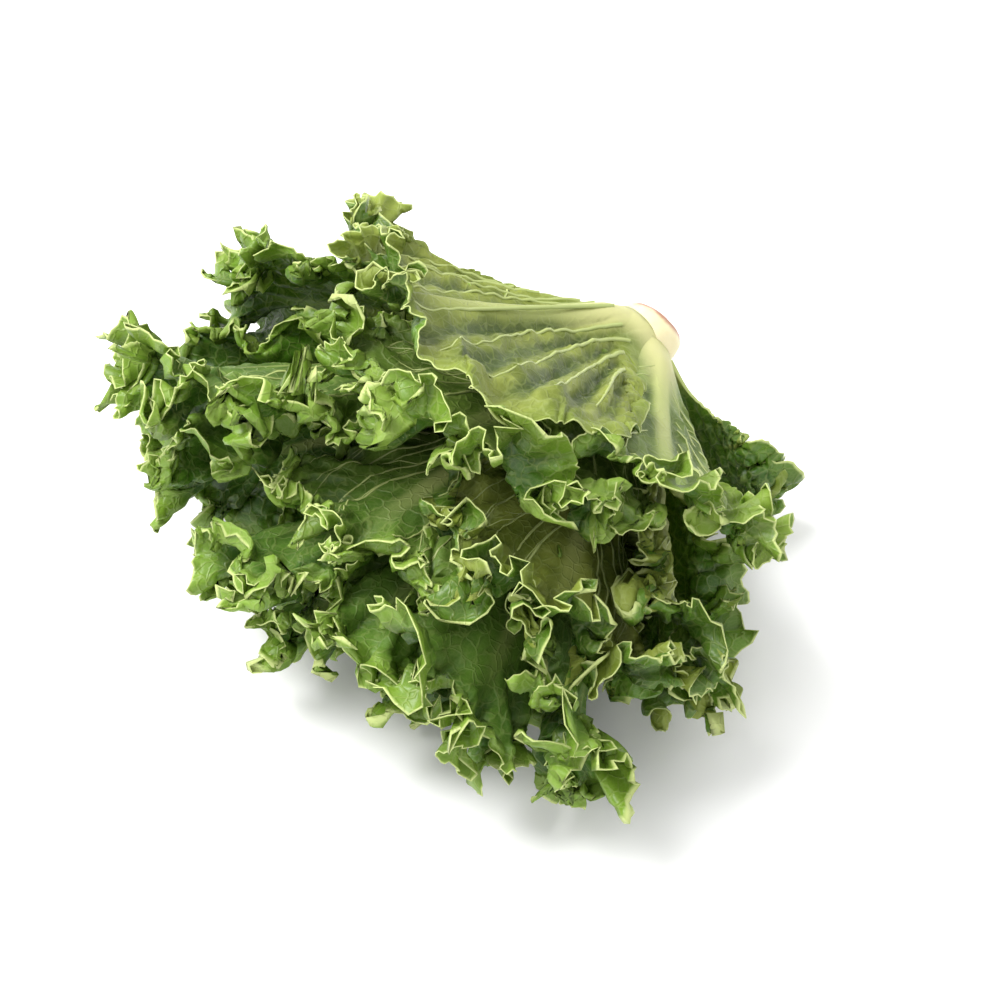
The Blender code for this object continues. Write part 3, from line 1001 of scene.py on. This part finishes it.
vein_material, tree = new_material("vein_flesh")
where = add_node(tree, "ShaderNodeTexCoord").outputs["Object"]
cloud = add_node(
    tree, "ShaderNodeTexNoise", {"Scale": 1000 / VEIN_CLOUD_MM, "Detail": 2.0}, {"Vector": where}
).outputs[0]
vein_green = add_node(
    tree, "ShaderNodeMix", {"data_type": "RGBA", 6: linear("#98a65c"), 7: linear("#b0ba78")}, {0: cloud}
).outputs[2]
shader = add_node(
    tree, "ShaderNodeBsdfPrincipled", {"Roughness": 0.42, "IOR": 1.45}, {"Base Color": vein_green}
)
add_node(tree, "ShaderNodeOutputMaterial", None, {"Surface": shader.outputs[0]})

tubes = bpy.data.node_groups.new("veins_from_paths", "GeometryNodeTree")
tubes.interface.new_socket("Geometry", in_out="INPUT", socket_type="NodeSocketGeometry")
sides_socket = tubes.interface.new_socket("Sides", in_out="INPUT", socket_type="NodeSocketInt")
material_socket = tubes.interface.new_socket("Flesh", in_out="INPUT", socket_type="NodeSocketMaterial")
tubes.interface.new_socket("Geometry", in_out="OUTPUT", socket_type="NodeSocketGeometry")
given = add_node(tubes, "NodeGroupInput")
thickness = add_node(tubes, "GeometryNodeInputNamedAttribute", {"data_type": "FLOAT", "Name": "thick"})
curves = add_node(tubes, "GeometryNodeMeshToCurve", None, {0: given.outputs[0]})
ring = add_node(tubes, "GeometryNodeCurvePrimitiveCircle", {"Radius": 1.0}, {"Resolution": given.outputs[1]})
swept = add_node(
    tubes,
    "GeometryNodeCurveToMesh",
    {"Fill Caps": True},
    {"Curve": curves.outputs[0], "Profile Curve": ring.outputs[0], "Scale": thickness.outputs[0]},
)
rounded = add_node(tubes, "GeometryNodeSetShadeSmooth", None, {0: swept.outputs[0]})
realised = add_node(tubes, "GeometryNodeRealizeInstances", None, {0: rounded.outputs[0]})
coloured = add_node(
    tubes, "GeometryNodeSetMaterial", None, {0: realised.outputs[0], "Material": given.outputs[2]}
)
add_node(tubes, "NodeGroupOutput", None, {0: coloured.outputs[0]})
sweep = paths.modifiers.new("veins", "NODES")
sweep.node_group = tubes
sweep[sides_socket.identifier] = VEIN_SIDES
sweep[material_socket.identifier] = vein_material
vein_mesh = bpy.data.meshes.new_from_object(paths.evaluated_get(bpy.context.evaluated_depsgraph_get()))
paths.modifiers.clear()
bpy.data.objects.remove(paths)
veins = bpy.data.objects.new("raised_veins", vein_mesh)
bpy.context.scene.collection.objects.link(veins)
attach(veins, "root")


# The table, the light and the camera
# A plain white table under a large soft lamp from the upper left, in a bright white room, as in a
# packshot. Sizes are in metres and the lamp's power is in watts.

TABLE_HALF = 4.0
TABLE_WHITE = 0.95
ROOM_LIGHT = 1.15
KEY_PLACE = Vector((-1.2, 0.25, 2.15))
KEY_AIM = Vector((0.0, 0.0, 0.05))
KEY_WIDTH = 1.6
KEY_WATTS = 83

floor_points = TABLE_HALF * np.array([[-1.0, -1, 0], [1, -1, 0], [1, 1, 0], [-1, 1, 0]])
floor = make_mesh("table", floor_points, [(0, 1, 2, 3)], {})
floor_material, tree = new_material("white_table")
white = (TABLE_WHITE, TABLE_WHITE, TABLE_WHITE, 1)
shader = add_node(tree, "ShaderNodeBsdfPrincipled", {"Base Color": white, "Roughness": 0.9})
add_node(tree, "ShaderNodeOutputMaterial", None, {"Surface": shader.outputs[0]})
floor.data.materials.append(floor_material)

world = bpy.data.worlds.new("studio")
world.use_nodes = True
bpy.context.scene.world = world
world.node_tree.nodes["Background"].inputs["Color"].default_value = (1, 1, 1, 1)
world.node_tree.nodes["Background"].inputs["Strength"].default_value = ROOM_LIGHT

lamp = bpy.data.lights.new("key", "AREA")
lamp.shape = "DISK"
lamp.size = KEY_WIDTH
lamp.energy = KEY_WATTS
key = bpy.data.objects.new("key", lamp)
bpy.context.scene.collection.objects.link(key)
key.location = KEY_PLACE
key.rotation_mode = "QUATERNION"
key.rotation_quaternion = (KEY_PLACE - KEY_AIM).to_track_quat("Z", "Y")

# The camera looks down as the photograph does, with the middle of the cut at its place in the picture
VIEW_ELEVATION = math.radians(50)
VIEW_DISTANCE = 1.8
PICTURE_PIXELS = 1000
PIXELS_PER_METRE = 2440
CUT_PIXEL = (657, 322)
SENSOR_MM = 36
camera_data = bpy.data.cameras.new("camera")
camera = bpy.data.objects.new("camera", camera_data)
bpy.context.scene.collection.objects.link(camera)
bpy.context.scene.camera = camera
back_way = Vector((0, -math.cos(VIEW_ELEVATION), math.sin(VIEW_ELEVATION)))
turned = (-back_way).to_track_quat("-Z", "Y")
cut_centre = Vector(lie_down(np.array([0.0]), np.array([0.0]), np.array([0.0]))[0] - BASE)
off_centre = Vector((PICTURE_PIXELS / 2 - CUT_PIXEL[0], CUT_PIXEL[1] - PICTURE_PIXELS / 2, 0))
aim_at = cut_centre + turned @ (off_centre / PIXELS_PER_METRE)
camera.location = aim_at + back_way * VIEW_DISTANCE
camera.rotation_mode = "QUATERNION"
camera.rotation_quaternion = turned
camera_data.sensor_width = SENSOR_MM
camera_data.lens = SENSOR_MM * VIEW_DISTANCE / (PICTURE_PIXELS / PIXELS_PER_METRE)
camera_data.clip_end = 50
bpy.context.scene.view_settings.view_transform = "Standard"
bpy.context.scene.view_settings.look = "None"
